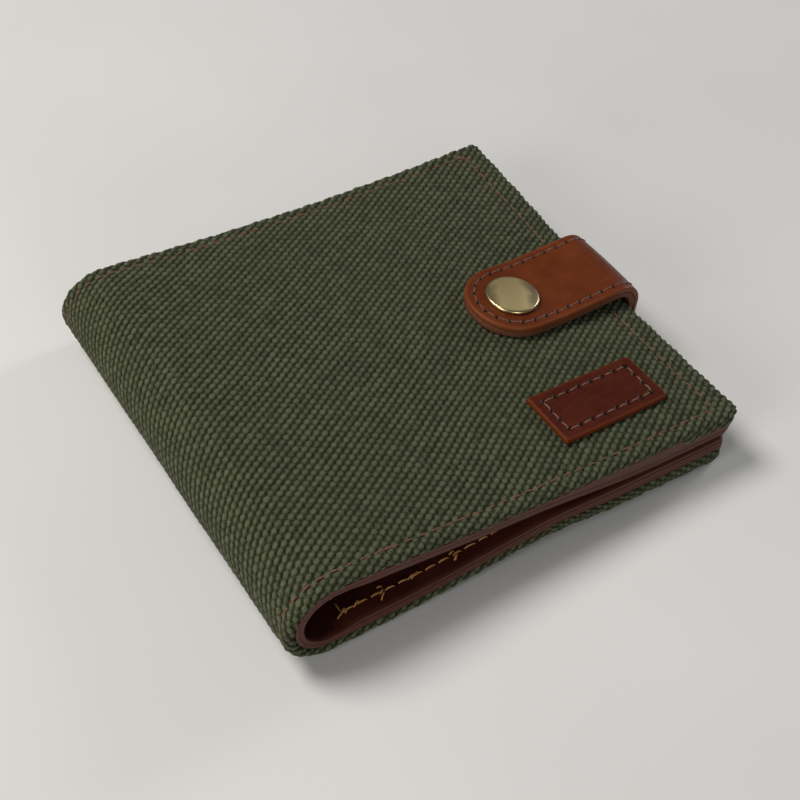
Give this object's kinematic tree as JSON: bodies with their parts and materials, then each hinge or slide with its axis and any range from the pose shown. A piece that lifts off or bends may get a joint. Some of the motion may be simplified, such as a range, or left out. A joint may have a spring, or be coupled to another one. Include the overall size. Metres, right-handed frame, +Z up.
{
  "type": "bifold wallet",
  "caption": "Canvas bifold wallet with leather lining, card pockets, a stitched leather patch and a snap-fastened leather strap over its open edge.",
  "frame": {"origin": "bottom centre of the closed wallet's box, on the table under it", "axes": "+Z up out of the front cover, +X from the spine to the open edge, +Y from the near edge to the far edge"},
  "size_m": [0.1162, 0.1014, 0.0226],
  "materials": {
    "canvas": "heavy olive green cotton canvas, two over two basket look",
    "board": "grey bonded board, hidden",
    "brown_thread": "waxed brown polyester thread",
    "golden_thread": "waxed golden brown thread",
    "tan_leather": "chestnut pull-up leather, semi-gloss with dark edges",
    "dark_leather": "dark red-brown leather, satin",
    "antique_brass": "brushed antique brass",
    "spring_steel": "bright wire"
  },
  "bodies": {
    "back_cover": {"back_bill_wall": "dark_leather", "back_canvas": "canvas", "back_card_pocket_front": "dark_leather", "back_card_pocket_middle": "dark_leather", "back_card_pocket_top": "dark_leather", "back_edge_stitching": "brown_thread", "back_lining": "dark_leather", "back_pocket_stitching": "golden_thread", "back_stiffener": "board", "strap_base_lining": "tan_leather", "strap_base_outer": "tan_leather"},
    "spine": {"spine_bill_wall": "dark_leather", "spine_canvas": "canvas", "spine_lining": "dark_leather", "spine_stitching": "brown_thread"},
    "front_cover": {"front_bill_wall": "dark_leather", "front_canvas": "canvas", "front_card_pocket_front": "dark_leather", "front_card_pocket_middle": "dark_leather", "front_card_pocket_top": "dark_leather", "front_edge_stitching": "brown_thread", "front_lining": "dark_leather", "front_pocket_stitching": "golden_thread", "front_stiffener": "board", "leather_patch": "tan_leather", "patch_stitching": "brown_thread", "snap_stud": "antique_brass", "stud_rivet": "antique_brass"},
    "strap_riser": {"strap_riser_lining": "tan_leather", "strap_riser_outer": "tan_leather", "strap_riser_stitching": "brown_thread"},
    "strap_end": {"snap_cap": "antique_brass", "snap_socket": "antique_brass", "snap_spring": "spring_steel", "strap_end_lining": "tan_leather", "strap_end_outer": "tan_leather", "strap_end_stitching": "brown_thread"}
  },
  "joints": [
    {"name": "spine_fold", "type": "hinge", "parent": "back_cover", "child": "spine", "pos_m": [-0.05596, 0, 0.0024], "axis": [0, -1, 0], "range_deg": [0, 90.7]},
    {"name": "cover_fold", "type": "hinge", "parent": "spine", "child": "front_cover", "pos_m": [-0.05542, 0, 0.01962], "axis": [0, -1, 0], "range_deg": [0, 90.7]},
    {"name": "strap_swing", "type": "hinge", "parent": "back_cover", "child": "strap_riser", "pos_m": [0.0567, 0, 0.0029], "axis": [0, 1, 0], "range_deg": [0, 90]},
    {"name": "strap_lift", "type": "hinge", "parent": "strap_riser", "child": "strap_end", "pos_m": [0.0567, 0, 0.01738], "axis": [0, 1, 0], "range_deg": [0, 86.4]}
  ],
  "couplings": [
    {"joint": "cover_fold", "follows": "spine_fold", "ratio": 1}
  ]
}
